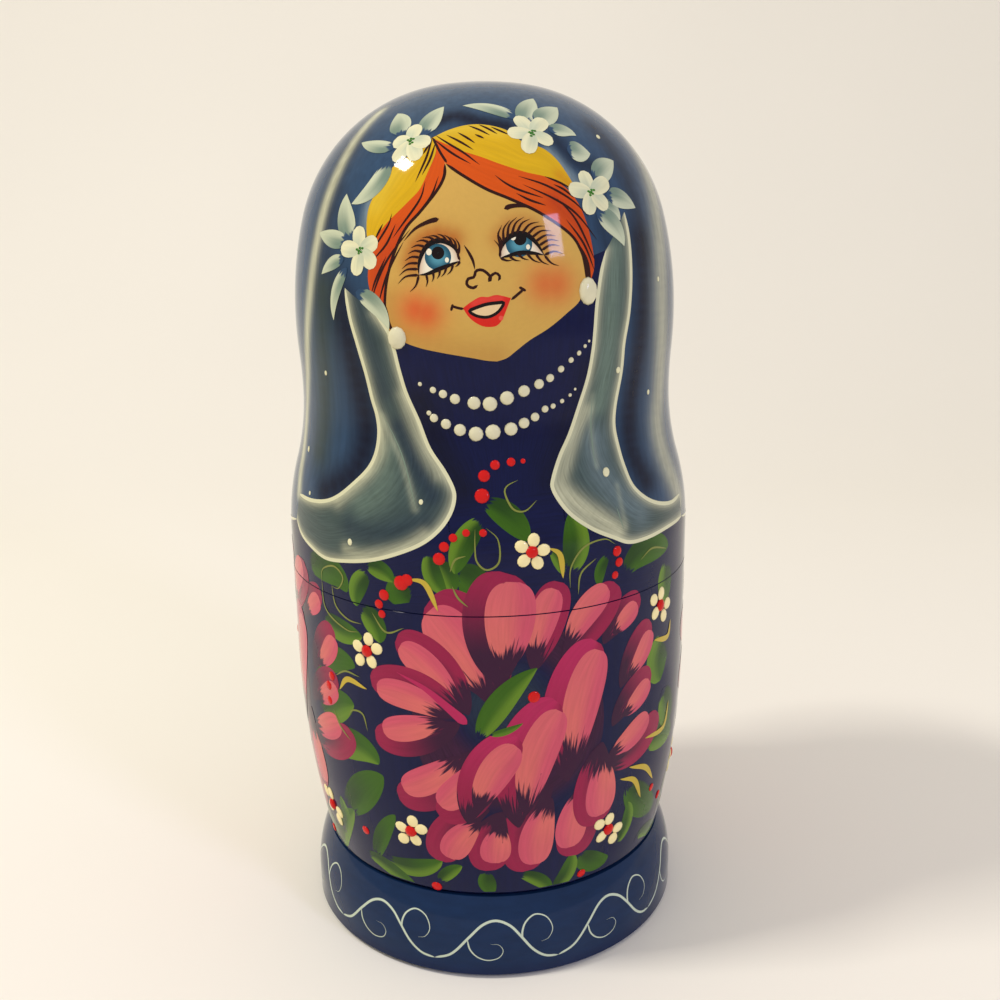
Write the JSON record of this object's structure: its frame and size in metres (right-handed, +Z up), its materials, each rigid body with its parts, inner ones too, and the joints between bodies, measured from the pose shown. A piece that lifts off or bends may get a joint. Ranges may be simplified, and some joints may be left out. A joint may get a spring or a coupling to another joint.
{
  "type": "matryoshka nesting doll",
  "caption": "Turned wooden doll on a round plinth that opens at the belly and holds ever smaller dolls, each with a spigot and socket joint, around a solid one.",
  "frame": {"origin": "centre of the plinth's underside, on the surface that the doll stands on", "axes": "+Z up along the turning axis; the painted face looks towards -Y"},
  "size_m": [0.1064, 0.1064, 0.22],
  "materials": {
    "plinth_lacquer": "limewood painted blue with a pale scroll, under high-gloss lacquer",
    "dress_lacquer": "limewood painted navy with a flower bouquet, under high-gloss lacquer, bare inside",
    "veil_lacquer": "limewood painted with a face and a slate veil, under high-gloss lacquer, bare inside"
  },
  "bodies": {
    "lower_01": {"plinth": "plinth_lacquer", "doll_01_lower_half": "dress_lacquer"},
    "upper_01": {"doll_01_upper_half": "veil_lacquer"},
    "lower_02": {"doll_02_lower_half": "dress_lacquer"},
    "upper_02": {"doll_02_upper_half": "veil_lacquer"},
    "lower_03": {"doll_03_lower_half": "dress_lacquer"},
    "upper_03": {"doll_03_upper_half": "veil_lacquer"},
    "lower_04": {"doll_04_lower_half": "dress_lacquer"},
    "upper_04": {"doll_04_upper_half": "veil_lacquer"},
    "lower_05": {"doll_05_lower_half": "dress_lacquer"},
    "upper_05": {"doll_05_upper_half": "veil_lacquer"},
    "lower_06": {"doll_06_lower_half": "dress_lacquer"},
    "upper_06": {"doll_06_upper_half": "veil_lacquer"},
    "lower_07": {"doll_07_lower_half": "dress_lacquer"},
    "upper_07": {"doll_07_upper_half": "veil_lacquer"},
    "lower_08": {"doll_08_lower_half": "dress_lacquer"},
    "upper_08": {"doll_08_upper_half": "veil_lacquer"},
    "lower_09": {"doll_09_lower_half": "dress_lacquer"},
    "upper_09": {"doll_09_upper_half": "veil_lacquer"},
    "solid_10": {"doll_10_solid": "dress_lacquer"}
  },
  "joints": [
    {"name": "upper_01_lift", "type": "slide", "parent": "lower_01", "child": "upper_01", "axis": [0, 0, 1], "range_m": [0, 1.004]},
    {"name": "lower_02_lift", "type": "slide", "parent": "lower_01", "child": "lower_02", "axis": [0, 0, 1], "range_m": [0, 0.0956]},
    {"name": "upper_02_lift", "type": "slide", "parent": "lower_02", "child": "upper_02", "axis": [0, 0, 1], "range_m": [0, 0.7868]},
    {"name": "lower_03_lift", "type": "slide", "parent": "lower_02", "child": "lower_03", "axis": [0, 0, 1], "range_m": [0, 0.0793]},
    {"name": "upper_03_lift", "type": "slide", "parent": "lower_03", "child": "upper_03", "axis": [0, 0, 1], "range_m": [0, 0.6061]},
    {"name": "lower_04_lift", "type": "slide", "parent": "lower_03", "child": "lower_04", "axis": [0, 0, 1], "range_m": [0, 0.0653]},
    {"name": "upper_04_lift", "type": "slide", "parent": "lower_04", "child": "upper_04", "axis": [0, 0, 1], "range_m": [0, 0.4564]},
    {"name": "lower_05_lift", "type": "slide", "parent": "lower_04", "child": "lower_05", "axis": [0, 0, 1], "range_m": [0, 0.0533]},
    {"name": "upper_05_lift", "type": "slide", "parent": "lower_05", "child": "upper_05", "axis": [0, 0, 1], "range_m": [0, 0.3331]},
    {"name": "lower_06_lift", "type": "slide", "parent": "lower_05", "child": "lower_06", "axis": [0, 0, 1], "range_m": [0, 0.043]},
    {"name": "upper_06_lift", "type": "slide", "parent": "lower_06", "child": "upper_06", "axis": [0, 0, 1], "range_m": [0, 0.2327]},
    {"name": "lower_07_lift", "type": "slide", "parent": "lower_06", "child": "lower_07", "axis": [0, 0, 1], "range_m": [0, 0.0342]},
    {"name": "upper_07_lift", "type": "slide", "parent": "lower_07", "child": "upper_07", "axis": [0, 0, 1], "range_m": [0, 0.1518]},
    {"name": "lower_08_lift", "type": "slide", "parent": "lower_07", "child": "lower_08", "axis": [0, 0, 1], "range_m": [0, 0.0267]},
    {"name": "upper_08_lift", "type": "slide", "parent": "lower_08", "child": "upper_08", "axis": [0, 0, 1], "range_m": [0, 0.0875]},
    {"name": "lower_09_lift", "type": "slide", "parent": "lower_08", "child": "lower_09", "axis": [0, 0, 1], "range_m": [0, 0.0202]},
    {"name": "upper_09_lift", "type": "slide", "parent": "lower_09", "child": "upper_09", "axis": [0, 0, 1], "range_m": [0, 0.0377]},
    {"name": "solid_10_lift", "type": "slide", "parent": "lower_09", "child": "solid_10", "axis": [0, 0, 1], "range_m": [0, 0.0146]}
  ],
  "couplings": [
    {"joint": "lower_02_lift", "follows": "upper_01_lift", "ratio": 0.0952},
    {"joint": "upper_02_lift", "follows": "upper_01_lift", "ratio": 0.7836},
    {"joint": "lower_03_lift", "follows": "upper_01_lift", "ratio": 0.0789},
    {"joint": "upper_03_lift", "follows": "upper_01_lift", "ratio": 0.6036},
    {"joint": "lower_04_lift", "follows": "upper_01_lift", "ratio": 0.065},
    {"joint": "upper_04_lift", "follows": "upper_01_lift", "ratio": 0.4545},
    {"joint": "lower_05_lift", "follows": "upper_01_lift", "ratio": 0.053},
    {"joint": "upper_05_lift", "follows": "upper_01_lift", "ratio": 0.3317},
    {"joint": "lower_06_lift", "follows": "upper_01_lift", "ratio": 0.0428},
    {"joint": "upper_06_lift", "follows": "upper_01_lift", "ratio": 0.2317},
    {"joint": "lower_07_lift", "follows": "upper_01_lift", "ratio": 0.034},
    {"joint": "upper_07_lift", "follows": "upper_01_lift", "ratio": 0.1511},
    {"joint": "lower_08_lift", "follows": "upper_01_lift", "ratio": 0.0265},
    {"joint": "upper_08_lift", "follows": "upper_01_lift", "ratio": 0.0871},
    {"joint": "lower_09_lift", "follows": "upper_01_lift", "ratio": 0.0201},
    {"joint": "upper_09_lift", "follows": "upper_01_lift", "ratio": 0.0375},
    {"joint": "solid_10_lift", "follows": "upper_01_lift", "ratio": 0.0145}
  ]
}
